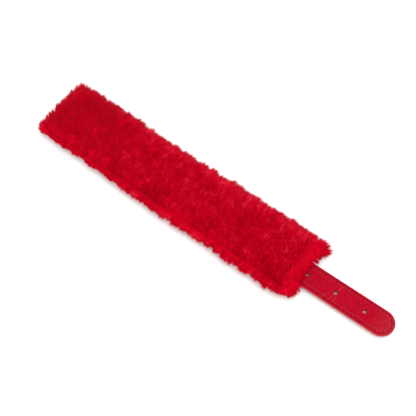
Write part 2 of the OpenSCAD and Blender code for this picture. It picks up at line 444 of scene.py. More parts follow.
def leather_material(name, base, worn_and_lit, grain=1.1):
    """Coated leatherette: fine pebbled grain, faint creases, lighter patches of wear, painted highlight along
    the edge, on the ridge beside the stitches and at the tongue's end, and painted shade in the stitch
    groove.
    """
    mat, tree, shader = new_material(name, base, 0.42)
    place = rest_vector(tree)
    pebbles = math_node(tree, "MINIMUM", cells(tree, place, grain, "DISTANCE_TO_EDGE"), 0.25)
    fine = noise(tree, place, 2.6, 4.0)
    flecks = noise(tree, place, 0.5, 4.0, 0.65)
    creases = crease_lines(tree, place)
    surface = ramp(tree, noise(tree, place, 0.06), [(0.3, base), (0.7, scaled(base, 1.12))])
    for amount, color in (
        (ramp(tree, noise(tree, place, 0.22, 5.0, 0.7), [(0.58, 0), (0.8, 0.5)]), worn_and_lit),
        (ramp(tree, noise(tree, place, 0.12, 4.0, 0.6), [(0.42, 0), (0.62, 0.35)]), scaled(base, 0.72)),
        (ramp(tree, flecks, [(0.50, 0), (0.70, 0.55)]), tuple(1.2 * c + 0.004 for c in worn_and_lit)),
        (ramp(tree, flecks, [(0.30, 0.5), (0.47, 0)]), scaled(base, 0.66)),
        (times(tree, creases, 0.75), CREASE),
        # Painted highlight on the ridge, at the tongue's end and along the edge, where it joins lighter wear
        (times(tree, stored(tree, "wear_and_highlight"), 0.8), tuple(c + 0.06 for c in worn_and_lit)),
        # Painted shade in the stitch groove
        (times(tree, stored(tree, "groove"), 0.25), scaled(base, 0.5)),
    ):
        surface = mix_color(tree, amount, surface, color)
    relief = bump(tree, pebbles, 0.10, 0.35)
    relief = bump(tree, fine, 0.05, 0.5, relief)
    relief = bump(tree, creases, 0.15, 0.6, relief)
    fill(shader, {
        "Base Color": surface,
        "Roughness": rough_from(tree, fine, 0.34, 0.22),
        "Normal": relief,
        "Specular IOR Level": 0.18,
        "Specular Tint": (1.0, 0.06, 0.12, 1),
    })
    return mat


def edge_material(name, base):
    """Cut edge of the leatherette: lighter, fibrous, matt."""
    mat, tree, shader = new_material(name, base, 0.8)
    fibres = noise(tree, stretched(tree, rest_vector(tree), (0.6, 0.6, 5.0)), 1.6, 5.0, 0.7)
    fill(shader, {
        "Base Color": ramp(tree, fibres, [(0.3, scaled(base, 0.7)), (0.7, base)]),
        "Roughness": rough_from(tree, fibres, 0.72, 0.16),
        "Normal": bump(tree, fibres, 0.1, 0.6),
    })
    return mat


def thread_material(name, base):
    mat, tree, shader = new_material(name, base, 0.55)
    twist = add(tree, "ShaderNodeTexWave", Scale=1.2, Distortion=0.6, bands_direction="DIAGONAL",
                Vector=rest_vector(tree)).outputs["Fac"]
    fill(shader, {
        "Base Color": ramp(tree, twist, [(0.2, scaled(base, 0.75)), (0.8, base)]),
        "Roughness": rough_from(tree, twist, 0.47, 0.16),
        "Normal": bump(tree, twist, 0.05, 0.6),
        "Specular IOR Level": 0.3,
        "Specular Tint": (1.0, 0.12, 0.18, 1),
    })
    return mat


def nickel_material(name, base, roughness):
    """Nickel plate with fine handling scratches and slightly cloudy patches."""
    mat, tree, shader = new_material(name, base, roughness)
    place = add(tree, "ShaderNodeTexCoord").outputs["Object"]
    cloud = noise(tree, place, 160, 4.0)
    scratch = noise(tree, stretched(tree, place, (300, 2600, 2600)), 1.0, 2.0)
    fill(shader, {
        "Metallic": 1.0,
        "Base Color": ramp(tree, cloud, [(0.35, scaled(base, 0.88)), (0.65, base)]),
        "Roughness": rough_from(tree, cloud, roughness - 0.06, 0.18),
        "Normal": bump(tree, scratch, 0.01, 0.3),
    })
    return mat


def foam_material(name, base):
    mat, tree, shader = new_material(name, base, 0.9)
    pores = cells(tree, rest_vector(tree), 1.4)
    fill(shader, {
        # Pores painted darker: painted shade in the foam's pores
        "Base Color": ramp(tree, pores, [(0.1, scaled(base, 0.8)), (0.6, base)]),
        "Roughness": rough_from(tree, pores, 0.82, 0.16),
        "Normal": bump(tree, pores, 0.3, 0.6),
    })
    return mat


def backing_material(name, base):
    """Knitted backing under the pile, with painted shade between the roots."""
    mat, tree, shader = new_material(name, base, 0.9)
    place = rest_vector(tree)
    loops = cells(tree, place, 0.9)
    # Shaded and lit copies of the backing's red, mixed by the knit cells: painted shade between the roots
    dark = ramp(tree, loops, [(0.1, scaled(base, 0.55)), (0.7, base)])
    lit = ramp(tree, noise(tree, place, 0.12, 4.0), [(0.35, scaled(base, 0.7)), (0.65, scaled(base, 1.3))])
    fill(shader, {
        "Base Color": mix_color(tree, loops, dark, lit),
        "Roughness": rough_from(tree, loops, 0.82, 0.16),
        "Normal": bump(tree, loops, 0.4, 0.8),
        "Specular IOR Level": 0.1,
        "Specular Tint": (1.0, 0.08, 0.14, 1),
    })
    return mat


def fibre_material(name, color, roughness=0.62):
    """Pile fibres of one shade: the dye drifts over the pad and varies along each fibre, and acrylic
    plush has a soft edge glow."""
    mat, tree, shader = new_material(name, color, roughness)
    place = rest_vector(tree)
    drift = noise(tree, place, 0.09)
    along = noise(tree, place, 0.7)
    stops = [(0.35, scaled(color, 0.9)), (0.65, scaled(color, 1.1))]
    fill(shader, {
        "Base Color": mix_color(tree, along, ramp(tree, drift, stops), ramp(tree, along, stops)),
        "Roughness": rough_from(tree, along, roughness - 0.08, 0.16),
        "Normal": bump(tree, along, 0.03, 0.4),
        "Sheen Weight": 0.06,
        "Sheen Roughness": 0.5,
        "Sheen Tint": (1.0, 0.05, 0.10, 1),
        "Specular IOR Level": 0.2,
        "Specular Tint": (1.0, 0.02, 0.06, 1),
    })
    return mat


CREASE = (0.55, 0.045, 0.06)
# Each crease: offset from the middle hole along X, slope, and where it starts and ends across
CREASES = [(-0.4, 0.23, -9.4, 8.6), (1.3, -0.07, -9.0, -2.6), (-5.5, 0.3, -11.5, -6.5)]
LEATHER = (0.325, 0.0006, 0.0115)
# Lighter red of the wear patches and flecks, also the colour of the painted highlights
LEATHER_WORN_AND_LIT = (0.34, 0.008, 0.022)
EDGE = (0.50, 0.085, 0.07)
# Red thread darkened well below the leather's red: painted shade of the stitch holes along the stitch line
THREAD = (0.13, 0.0003, 0.005)
# Punched hole walls painted near-black: painted shade inside the holes
HOLE_WALL_SHADE = (0.045, 0.012, 0.010)
NICKEL = (0.72, 0.72, 0.74)
FOAM = (0.78, 0.76, 0.70)
BACKING = (0.50, 0.001, 0.014)
ROOT_RED = (0.62, 0.0002, 0.014)
# Middle reds a little darker than the tip reds: painted shade towards the roots; the palest pink tip red is
# also the painted highlight of the lit fringes
MID_REDS = [(0.54, 0.0001, 0.012), (0.66, 0.0001, 0.017), (0.74, 0.0003, 0.022)]
TIP_REDS = [(0.56, 0.0001, 0.013), (0.70, 0.0002, 0.022), (0.88, 0.020, 0.060)]

leather = leather_material("leatherette_red", LEATHER, LEATHER_WORN_AND_LIT)
edge_paint = edge_material("leatherette_cut_edge", EDGE)
thread = thread_material("thread_red", THREAD)
nickel = nickel_material("nickel_plate", NICKEL, 0.22)
hole_wall_shade = edge_material("punched_hole_wall_shade", HOLE_WALL_SHADE)
foam_mat = foam_material("padding_foam", FOAM)
backing_mat = backing_material("plush_backing_red", BACKING)
FIBRES = ([fibre_material("pile_root", ROOT_RED)]
          + [fibre_material(f"pile_mid_{i}", c) for i, c in enumerate(MID_REDS)]
          + [fibre_material(f"pile_tip_{i}", c) for i, c in enumerate(TIP_REDS)])


def paint(obj, *materials):
    for mat in materials:
        obj.data.materials.append(mat)


def paint_edges(obj, is_edge):
    """Gives the second material slot to the faces whose normal passes is_edge."""
    for face in obj.data.polygons:
        if is_edge(face.normal):
            face.material_index = 1


# --- outer band and foam ---------------------------------------------------------------------

def rounded_half(x, x0, x1, half, corner):
    """Half width of a rounded rectangle at x."""
    e = min(x - x0, x1 - x)
    if e >= corner:
        return half
    return half - corner + math.sqrt(max(corner ** 2 - (corner - max(e, 0)) ** 2, 0))


RIM_STEPS = [0, 0.12, 0.35, 0.7, 1.2, 1.8, 2.2, 2.6, 2.8, 3.0, 3.2, 3.4, 3.8, 4.6, 5.6, 7.0]


def sheet_columns(x0, x1, left_end, right_end, step):
    """Columns for a stretch of a layer, packed more closely towards the pad's own ends."""
    left = [x0 + s for s in RIM_STEPS] if left_end else [x0]
    right = [x1 - s for s in reversed(RIM_STEPS)] if right_end else [x1]
    return np.array(left[:-1] + list(stations(left[-1], right[0], step)) + right[1:])


def layer_pieces(name, outline, insets, z_top, z_bottom, step=2.4):
    """Each piece of a flat layer, with the number of the hinge it spans.

    The layer's whole outline is (left, right, half, corner). Its pieces meet in mid panel.
    """
    lo, hi, half, corner = outline
    cuts = [lo] + MIDS[:3] + [hi]
    for k in range(4):
        first, last = k == 0, k == 3
        yield k, plate(
            f"{name}_{k + 1}", sheet_columns(cuts[k], cuts[k + 1], first, last, step),
            lambda x: rounded_half(x, lo, hi, half, corner),
            lambda x, y: rounded_distance(x, y, lo, hi, half, corner)[0],
            insets, z_top, z_bottom, cap_left=first, cap_right=last)


def edge_round(d, radius):
    """Drop of a rounded edge below its face, at distance d inward."""
    return np.where(d < radius, radius - np.sqrt(np.maximum(radius ** 2 - (radius - d) ** 2, 0)), 0)


def dent(d, at, depth, width):
    return depth * np.exp(-((d - at) / width) ** 2)


def outer_bands():
    insets = RIM_STEPS + list(np.linspace(9, BAND_HALF, 8))
    top = lambda d, x, y: BAND_TOP - GAP - edge_round(d, 0.5)
    bottom = lambda d, x, y: BAND_BOTTOM + edge_round(d, 0.6) + dent(d, STITCH_IN, 0.3, 0.45)
    for k, band in layer_pieces("outer_band_skin", BAND_OUTLINE, insets, top, bottom):
        paint(band, leather, edge_paint)
        paint_edges(band, lambda normal: abs(normal.z) < 0.5)
        mark_wear(band, lambda p: rounded_distance(p[:, 0], p[:, 1], *BAND_OUTLINE)[0])
        keep_rest_place(band)
        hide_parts(*([f"outer_band_{k + 1}"] + (["outer_band_5"] if k == 3 else [])))
        bend(band, k)


def smooth_step(t):
    return t * t * (3 - 2 * t)


def backing_cut(d):
    """Plush backing as cut, above the band: flat rim, pulled down at the seam, then up over the foam."""
    rise = np.clip((d - SEAM_IN) / 3.0, 0, 1)
    rim = 0.55 - dent(d, SEAM_IN, 0.45, 0.7)
    return BAND_TOP + rim + smooth_step(rise) * (FOAM_TOP - BAND_TOP + 0.3)


CLOTH_CELL = 2.5
CLOTH_PRESSURE = 4.0
CLOTH_FRAMES = 20
CLOTH_MASS = 0.1
CLOTH_QUALITY = 8
CLOTH_PINNED = 3.8      # the seam holds the lining up to this far in from the band's edge
CLOTH_CAP = 1.6         # no point of the lining rises further than this


def swollen_lining():
    """Cloth simulation of the lining, sewn down along its seam and puffed up by pressure.

    Returns the grid's columns and rows, and how far each point has risen from the cut shape. The foam
    below keeps it from sinking.
    """
    xs = stations(BAND_L, BAND_R, CLOTH_CELL)
    ys = stations(-BAND_HALF, BAND_HALF, CLOTH_CELL)
    gx, gy = np.meshgrid(xs, ys, indexing="ij")
    d = rounded_distance(gx, gy, *BAND_OUTLINE)[0]
    cut = backing_cut(d)
    rows = len(ys)
    corners = [i * rows + j for i in range(len(xs) - 1) for j in range(rows - 1)]
    faces = [(c, c + rows, c + rows + 1, c + 1) for c in corners]
    sheet = make_mesh("lining_cloth", np.stack([gx, gy, cut], -1).reshape(-1, 3), faces)
    seam = sheet.vertex_groups.new(name="seam")
    seam.add(np.flatnonzero(d.ravel() < CLOTH_PINNED).tolist(), 1.0, "REPLACE")
    cloth = sheet.modifiers.new("cloth", "CLOTH")
    cloth.settings.vertex_group_mass = "seam"
    cloth.settings.use_pressure = True
    cloth.settings.uniform_pressure_force = CLOTH_PRESSURE
    cloth.settings.effector_weights.gravity = 0
    cloth.settings.mass = CLOTH_MASS
    cloth.settings.quality = CLOTH_QUALITY
    cloth.collision_settings.use_collision = False
    scene = bpy.context.scene
    for step in range(1, CLOTH_FRAMES + 1):
        scene.frame_set(step)
    settled = sheet.evaluated_get(bpy.context.evaluated_depsgraph_get()).to_mesh()
    height = flat_points(settled).reshape(len(xs), rows, 3)[..., 2] / MM
    bpy.data.objects.remove(sheet)
    scene.frame_set(1)
    return xs, ys, np.round(CLOTH_CAP * np.tanh(np.maximum(height - cut, 0) / CLOTH_CAP), 3)


LINING_X, LINING_Y, LINING_RISE = swollen_lining()


def on_grid(u, v, value_at, smooth=False):
    """Value at a place between grid points, where value_at(i, j) is the value at one of them."""
    i, j = np.floor(u).astype(int), np.floor(v).astype(int)
    fu, fv = u - i, v - j
    if smooth:
        fu, fv = smooth_step(fu), smooth_step(fv)
    low = value_at(i, j) * (1 - fu) + value_at(i + 1, j) * fu
    high = value_at(i, j + 1) * (1 - fu) + value_at(i + 1, j + 1) * fu
    return low * (1 - fv) + high * fv


def lining_rise(x, y):
    """How far the simulated lining has risen at a place, between the points of its grid."""
    u = np.clip((x - LINING_X[0]) / (LINING_X[1] - LINING_X[0]), 0, len(LINING_X) - 1.001)
    v = np.clip((y - LINING_Y[0]) / (LINING_Y[1] - LINING_Y[0]), 0, len(LINING_Y) - 1.001)
    return on_grid(u, v, lambda i, j: LINING_RISE[i, j])


def foam_sheets():
    outline = (FOAM_L, FOAM_R, FOAM_HALF, 3.0)
    insets = [0, 0.3, 0.8, 1.6, 3, 6, 12, FOAM_HALF]
    top = lambda d, x, y: FOAM_TOP - edge_round(d, 1.2) + lining_rise(x, y)
    bottom = lambda d, x, y: BAND_TOP + GAP + 0 * d
    for k, foam in layer_pieces("foam_sheet", outline, insets, top, bottom, 3.0):
        paint(foam, foam_mat)
        keep_rest_place(foam)
        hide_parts(*([f"foam_core_{k + 1}"] + (["foam_core_5"] if k == 3 else [])))
        bend(foam, k)


# --- plush -----------------------------------------------------------------------------------

def backing_height(d, x, y):
    return backing_cut(d) + lining_rise(x, y)


def plush_backings():
    insets = RIM_STEPS + list(np.linspace(8.5, BAND_HALF, 10))
    top = lambda d, x, y: backing_height(d, x, y) - edge_round(d, 0.3)
    bottom = lambda d, x, y: np.where(d > 5.0, backing_height(d, x, y) - 0.5, BAND_TOP + GAP)
    for k, back in layer_pieces("plush_backing", BAND_OUTLINE, insets, top, bottom, 2.0):
        paint(back, backing_mat)
        keep_rest_place(back)
        bend(back, k)


LATTICE = 96            # random values along each side of a noise field


def value_noise(x, y, cell, seed):
    """Smooth random field from -1 to 1 on a lattice of the given cell."""
    lattice = np.random.default_rng(seed).uniform(-1, 1, (LATTICE, LATTICE))
    half = LATTICE // 2
    return on_grid(x / cell + half, y / cell + half, lambda i, j: lattice[i % LATTICE, j % LATTICE], True)


def jittered(x0, x1, half, cell, rng, jitter=0.9):
    nx, ny = int((x1 - x0) / cell), int(2 * half / cell)
    gx, gy = np.meshgrid(np.arange(nx), np.arange(ny), indexing="ij")
    x = x0 + (gx + 0.5 + jitter * (rng.random(gx.shape) - 0.5)) * cell
    y = -half + (gy + 0.5 + jitter * (rng.random(gx.shape) - 0.5)) * cell
    return x, y


def nearest_clump(x, y, x0, half, cell, cx, cy):
    """Index pair of the closest clump centre on the jittered lattice."""
    i = np.clip(((x - x0) / cell).astype(int), 0, cx.shape[0] - 1)
    j = np.clip(((y + half) / cell).astype(int), 0, cx.shape[1] - 1)
    best = np.full(x.shape, 1e9)
    bi, bj = i.copy(), j.copy()
    for di in (-1, 0, 1):
        for dj in (-1, 0, 1):
            ii = np.clip(i + di, 0, cx.shape[0] - 1)
            jj = np.clip(j + dj, 0, cx.shape[1] - 1)
            gap = (cx[ii, jj] - x) ** 2 + (cy[ii, jj] - y) ** 2
            closer = gap < best
            best = np.where(closer, gap, best)
            bi, bj = np.where(closer, ii, bi), np.where(closer, jj, bj)
    return bi, bj


FIBRE_CELL = 0.48
RIM_CELL = FIBRE_CELL * 0.7
TUFT_CELL = 1.5
CLUMP_CELL = 4.2

# Pile across the edge of the pad: distance in from the band's edge, tilt outward, and fibre length
PILE_AT = [0.0, 1.2, 2.5, 3.5, 6.0, 10.0, 16.0]
PILE_TILT = [100, 80, 58, 46, 30, 13, 0]
PILE_LEN = [7.2, 8.4, 9.6, 9.8, 9.1, 8.3, 8.0]
PILE_REACH = 40.5       # fibres further out than this are trimmed back
SWEEP = math.radians(50)    # tilt inward of the pile beside a parted seam
PART_DEPTH = 8.0        # and how far in this fades
PILE_SHIFT = 8.5        # the end pieces of pile stop this far short of the middle of their panels
BRUSH = 2.4             # the whole pile leans this far across, towards +Y
BRUSH_END = 5.0         # and this much more at the buckle end
MID_SHADES = [-0.3, 0.35]   # where one red of the fibres' middles gives way to the next
TIP_SHADES = [-0.3, 0.6]    # and of their tips


def pile_roots(rng):
    """Fibre roots: an even scatter over the backing, and a closer one along the rim."""
    x, y = (v.ravel() for v in jittered(BAND_L, BAND_R, BAND_HALF, FIBRE_CELL, rng))
    rx, ry = (v.ravel() for v in jittered(BAND_L, BAND_R, BAND_HALF, RIM_CELL, rng))
    close = rounded_distance(rx, ry, *BAND_OUTLINE)[0] < SEAM_IN
    x, y = np.concatenate([x, rx[close]]), np.concatenate([y, ry[close]])
    d, nx, ny = rounded_distance(x, y, *BAND_OUTLINE)
    bare = 0.4 + 0.6 * np.clip((nx - 0.5) / 0.4, 0, 1)
    keep = (d > 0.05) & (np.abs(d - SEAM_IN) > bare)
    return x[keep], y[keep], d[keep], nx[keep], ny[keep]


def clump_field(x, y, cell, rng):
    """Offset of each root from its clump's centre, and three random values that the clump shares."""
    x0, half = BAND_L - 6, BAND_HALF + 6
    cx, cy = jittered(x0, BAND_R + 6, half, cell, rng)
    ci, cj = nearest_clump(x, y, x0, half, cell, cx, cy)
    shared = [rng.uniform(-1, 1, cx.shape)[ci, cj] for _ in range(3)]
    return cx[ci, cj] - x, cy[ci, cj] - y, shared


def outward(depth, parted):
    """Tilt of the pile away from the middle at a depth in from one side, and how far it is swept back.

    Where the pile is parted along the seam, it is swept inward instead, so the tilt turns negative.
    """
    swept = parted * np.exp(-np.maximum(depth - SEAM_IN, 0) / PART_DEPTH)
    return np.radians(np.interp(depth, PILE_AT, PILE_TILT)) * (1 - swept) - SWEEP * swept, swept


def pile_strands():
    """Root, middle and tip of every fibre tuft, its thickness and its shade: a tone that varies at random and
    carries painted highlight and painted shade.
    """
    rng = np.random.default_rng(SEED)
    x, y, d, nx, ny = pile_roots(rng)
    n = len(x)
    gx, gy, (turn, reach, tone) = clump_field(x, y, CLUMP_CELL, rng)
    hx, hy, (turn2, reach2, tone2) = clump_field(x, y, TUFT_CELL, rng)
    rim = d < SEAM_IN
    tongue_end = np.clip((nx - 0.5) / 0.4, 0, 1) * rim * (x > 0)
    near_side = np.clip((-ny - 0.5) / 0.4, 0, 1) * rim
    far_rim = np.clip(ny, 0, 1) * np.exp(-d / 4)
    corner = np.abs(2 * nx * ny) * np.exp(-d / 5)
    end_in = np.clip((-60 - x) / 120, 0, 1)
    # The tongue below holds the rim's pile up and back
    held = tongue_end * np.clip((STRAP_HALF + 9 - np.abs(y)) / 9, 0, 1) ** 2

    # The pile parts along the seam at the tongue end and on the near side; elsewhere it covers the seam
    near_part = np.clip(0.62 + 0.25 * value_noise(x, y, 22, 11), 0.3, 0.85) * (1 - 0.4 * end_in)
    right, swept_x = outward(BAND_R - x, 0.9)
    near, swept_y = outward(y + BAND_HALF, near_part)
    left = outward(x - BAND_L, 0.0)[0]
    far = outward(BAND_HALF - y, 0.0)[0]
    swept = np.maximum(swept_x, swept_y) * ~rim
    rim_tilt = (np.radians(np.interp(d, PILE_AT, PILE_TILT)) + 0.22 * tongue_end) * (1 - 0.22 * held)
    tilt_x = np.where(rim, rim_tilt * nx, right - left)
    tilt_y = np.where(rim, rim_tilt * ny, far - near)
    tilt = np.maximum(np.hypot(tilt_x, tilt_y), 1e-6)
    out = np.sin(np.minimum(tilt, 1.9)) / tilt
    along = np.stack([tilt_x * out, tilt_y * out, np.cos(np.minimum(tilt, 1.9))], 1)

    length = np.interp(d, PILE_AT, PILE_LEN)
    length = length * (1 + corner * np.where(y > 0, np.where(x < 0, 0.75, 0.65), np.where(x < 0, 0.4, -0.2)))
    length = length * (1 - 0.25 * swept) * (1 - 0.38 * held) * (1 + 0.16 * far_rim)
    length = length * (1 + 0.14 * rim * np.clip(-nx, 0, 1) + 0.10 * near_side * np.clip(x / 40, 0, 1))
    length = length * (1 + 0.05 * reach + rim * 0.20 * reach ** 3 + 0.09 * reach2)
    length = length * np.where(rim, rng.uniform(0.9, 1.04, n), rng.uniform(0.84, 1.06, n))

    angle = 2.0 * value_noise(x, y, 17, 3) + 0.9 * turn + 0.8 * turn2
    lean = (0.14 + 0.07 * value_noise(x, y, 10, 5) + 0.05 * turn) * np.where(rim, 0.5, 1.0)
    lx = lean * np.cos(angle) - np.where(rim, 0.025, 0.05) + 0.30 * far_rim
    across = BRUSH * np.clip((y + 40) / 24, 0, 1) + BRUSH_END * end_in * end_in * (3 - 2 * end_in)
    beside_tongue = tongue_end * np.exp(-((np.abs(y) - STRAP_HALF - 2) / 3) ** 2)
    ly = lean * np.sin(angle) + across / length * (1 - tongue_end) - 0.30 * np.sign(y) * beside_tongue
    side = np.stack([lx, ly, np.full(n, -0.08)], 1)
    pull = np.where(rim, 0.26 - 0.16 * near_side, 0.14)
    tuft = np.where(rim, 0.26 - 0.12 * near_side + 0.3 * corner, 0.26)
    gather = np.stack([pull * gx + tuft * hx, pull * gy + tuft * hy, np.zeros(n)], 1)
    stray = rng.normal(0, 0.05, (n, 3))

    root = np.stack([x, y, backing_height(d, x, y)], 1)
    far_off = length[:, None]
    half_way = along * 0.62 + side * (0.42 + 0.15 * end_in)[:, None] + stray * 0.45
    middle = root + half_way * far_off + gather * 0.6
    tip = root + (along * 0.97 + side + stray) * far_off + gather
    tip[:, 1] = np.where(tip[:, 1] > PILE_REACH, PILE_REACH + 0.25 * (tip[:, 1] - PILE_REACH), tip[:, 1])
    thickness = rng.uniform(0.26, 0.42, n) * np.where(rim, 1.3, 1.0) * (1 + 0.6 * corner)
    patches = 0.40 * value_noise(x, y, 7, 9) + 0.35 * value_noise(x, y, 2.6, 12)
    shade = 0.22 * tone + 0.40 * tone2 + patches + 0.35 * rng.uniform(-1, 1, n)
    # Painted highlight on the near-side and far-rim fringes, painted shade on the pile over the tongue; the
    # rim and the tongue end a little darker
    shade = shade - 0.1 * rim + 0.3 * near_side - 0.25 * tongue_end + 0.7 * far_rim - 0.7 * held
    # Painted shade at the buckle end and beside the parted seam on the near side
    shade = shade - 0.6 * end_in * ~rim - 0.2 * swept_y * ~rim
    return root, middle, tip, thickness, shade


def fibre_mesh(name, root, middle, tip, thickness, shade):
    """Three-sided tapering fibres in one mesh: seven points and six faces each."""
    n = len(root)
    axis = tip - root
    axis /= np.linalg.norm(axis, axis=1)[:, None]
    ref = np.where(np.abs(axis[:, 2:3]) > 0.9, [[1.0, 0, 0]], [[0, 0, 1.0]])
    u = np.cross(axis, ref)
    u /= np.linalg.norm(u, axis=1)[:, None]
    v = np.cross(axis, u)
    spin = np.random.default_rng(SEED + 1).uniform(0, 2 * np.pi, n)
    points = np.empty((n, 7, 3))
    for s in range(3):
        a = spin + s * 2 * np.pi / 3
        ring = (np.cos(a)[:, None] * u + np.sin(a)[:, None] * v) * thickness[:, None]
        points[:, s] = root + ring * 0.5
        points[:, 3 + s] = middle + ring * 0.46
    points[:, 6] = tip
    base = np.arange(n) * 7
    quads = np.stack([np.stack([base + s, base + (s + 1) % 3, base + 3 + (s + 1) % 3, base + 3 + s], 1)
                      for s in range(3)], 1)
    tris = np.stack([np.stack([base + 3 + s, base + 3 + (s + 1) % 3, base + 6], 1) for s in range(3)], 1)
    loops = np.concatenate([quads.reshape(n, 12), tris.reshape(n, 9)], 1).ravel()
    starts = (np.arange(n) * 21)[:, None] + np.array([0, 4, 8, 12, 15, 18])
    mesh = bpy.data.meshes.new(name)
    mesh.vertices.add(n * 7)
    mesh.vertices.foreach_set("co", (points * MM).astype(np.float32).ravel())
    mesh.loops.add(n * 21)
    mesh.loops.foreach_set("vertex_index", loops.astype(np.int32))
    mesh.polygons.add(n * 6)
    mesh.polygons.foreach_set("loop_start", starts.astype(np.int32).ravel())
    # Lower halves of the fibres take the middle reds, upper halves the tip reds: painted shade towards the
    # roots
    lower = 1 + np.digitize(shade, MID_SHADES)
    upper = 4 + np.digitize(shade, TIP_SHADES)
    slots = np.stack([lower] * 3 + [upper] * 3, 1)
    mesh.polygons.foreach_set("material_index", slots.astype(np.int32).ravel())
    mesh.polygons.foreach_set("use_smooth", np.ones(n * 6, bool))
    mesh.update(calc_edges=True)
    obj = put_in_scene(name, mesh)
    paint(obj, *FIBRES)
    return obj


def plush_pile():
    strands = pile_strands()
    root_x = strands[0][:, 0]
    edges = [-1e9, MIDS[0] - PILE_SHIFT, MIDS[1], MIDS[2] + PILE_SHIFT, 1e9]
    for k in range(4):
        mine = (root_x >= edges[k]) & (root_x < edges[k + 1])
        pile = fibre_mesh(f"plush_pile_{k + 1}", *(values[mine] for values in strands))
        keep_rest_place(pile)
        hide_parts(*([f"plush_lining_{k + 1}"] + (["plush_lining_5"] if k == 3 else [])))
        bend(pile, k)


# --- strap -----------------------------------------------------------------------------------

def fold_path(cx, cz, r_in, top_end, low_end, slope=24, step=1.2):
    """Middle line of a ply that runs flat over a bar, round it and back under itself (X and Z)."""
    r = r_in + PLY / 2
    top, low = cz + r, cz + r - PLY
    a = math.radians(slope)
    run = (low - cz + r * math.cos(a)) / math.sin(a)
    kink = (cx + r * math.sin(a) + run * math.cos(a), low)
    points = [(x, top) for x in stations(cx, top_end, step)[::-1]]
    points += [(cx - r * math.sin(t), cz + r * math.cos(t)) for t in np.linspace(0, math.pi, 15)[1:]]
    points += [(cx + r * math.sin(t), cz - r * math.cos(t)) for t in np.linspace(0, a, 4)[1:]]
    start = points[-1]
    bendy = 1.2
    for t in np.linspace(0, 1, 6)[1:-1]:
        points.append((start[0] + (kink[0] - bendy - start[0]) * t,
                       start[1] + (kink[1] - bendy * math.tan(a) - start[1]) * t))
    for t in np.linspace(0, 1, 6):
        x = kink[0] - bendy + 2 * bendy * t
        points.append((x, low - bendy * math.tan(a) * (1 - t) ** 2))
    points += [(x, low) for x in stations(kink[0] + bendy + 0.5, low_end, step)]
    return np.array(points)


def fold_sweep(name, path, section):
    """Strip that follows a path in X and Z."""
    along = np.gradient(path, axis=0)
    along /= np.linalg.norm(along, axis=1)[:, None]
    spots = np.stack([path[:, 0], np.zeros(len(path)), path[:, 1]], 1)
    ups = np.stack([along[:, 1], np.zeros(len(path)), -along[:, 0]], 1)
    sides = np.tile([0.0, 1.0, 0.0], (len(path), 1))
    return sweep(name, spots, ups, sides, section)


def strap_top(d, x, y):
    return STRAP_TOP - edge_round(d, 0.45) - dent(d, STITCH_IN, 0.22, 0.38)


def strap_bottom(d, x, y):
    return STRAP_BOTTOM + edge_round(d, 0.45) + dent(d, STITCH_IN, 0.22, 0.38)


STRAP_INSETS = [0, 0.05, 0.15, 0.3, 0.5, 0.9, 1.4, 1.8, 2.2, 2.6, 2.8, 3.0, 3.2, 3.4, 3.8, 4.2, 4.8, 6.5, 9.0,
                STRAP_HALF]


def strap_stretch(name, x0, x1, bottom=strap_bottom):
    return plate(name, stations(x0, x1, 2.0), lambda x: STRAP_HALF,
                 lambda x, y: STRAP_HALF - np.abs(y), STRAP_INSETS, strap_top, bottom)


def tongue_distance(x, y):
    beside = STRAP_HALF - np.abs(y)
    return np.where(x > TIP_CENTRE, STRAP_HALF - np.hypot(np.maximum(x - TIP_CENTRE, 0), y), beside)


def tongue_half(x):
    past = max(x - TIP_CENTRE, 0)
    return math.sqrt(max(STRAP_HALF ** 2 - past ** 2, 0))


def tongue_stretch(name, x0):
    round_end = [TIP_CENTRE + STRAP_HALF * math.sin(a) for a in np.linspace(0, math.pi / 2, 40)[1:]]
    xs = np.array(list(stations(x0, TIP_CENTRE, 2.0)) + round_end)
    return plate(name, xs, tongue_half, tongue_distance, STRAP_INSETS, strap_top, strap_bottom)


def finish_strap(obj, k, nodes):
    paint(obj, leather, edge_paint, hole_wall_shade)
    paint_edges(obj, lambda normal: abs(normal.z) < 0.45)
    # Walls of the punched holes take the painted shade
    for face in obj.data.polygons:
        gaps = [math.hypot(face.center.x / MM - h[0], face.center.y / MM - h[1]) for h in HOLES]
        if face.material_index == 1 and min(gaps) < HOLE_R + 0.2:
            face.material_index = 2
    mark_wear(obj, lambda p: tongue_distance(p[:, 0], p[:, 1]))
    keep_rest_place(obj)
    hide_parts(*nodes)
    bend(obj, k)


FOLD_RETURN = 16.5      # how far the folded ply comes back past the heel bar
SLOT_HALF = 2.6         # half width of the prong's slot
SLOT_REACH = 5.0        # and how far past the heel bar it ends
CUTTER_PAST = 5.0       # a cutter stands at least this far past what it cuts


def strap_start():
    """Face ply folded round the heel bar, with the prong's slot, and the backing from past the keeper."""
    keeper_right = node_box("keeper_loop")[1][0]
    path = fold_path(BAR[0], BAR[2], BAR_R, BAR[0] + FOLD_RETURN, MIDS[0])
    face = fold_sweep("strap_fold", path, cross_section(2 * STRAP_HALF, STITCH_IN))
    corners = [(x, y, z)
               for x in (BAR[0] - 2 * CUTTER_PAST, BAR[0] + SLOT_REACH)
               for y in (-SLOT_HALF, SLOT_HALF)
               for z in (-CUTTER_PAST, STRAP_TOP + CUTTER_PAST)]
    sides = [(0, 1, 3, 2), (4, 6, 7, 5), (0, 4, 5, 1), (2, 3, 7, 6), (0, 2, 6, 4), (1, 5, 7, 3)]
    slot = make_mesh("slot_cutter", corners, sides, smooth=False)
    weld(slot)
    cut_with(face, slot)
    middle = STRAP_BOTTOM + PLY
    back = strap_stretch("strap_back", keeper_right + 0.5, MIDS[0], lambda d, x, y: middle + GAP + 0 * d)
    piece = join([face, back], "strap_1")
    finish_strap(piece, 0, ["strap_face_1", "strap_backing_1"])


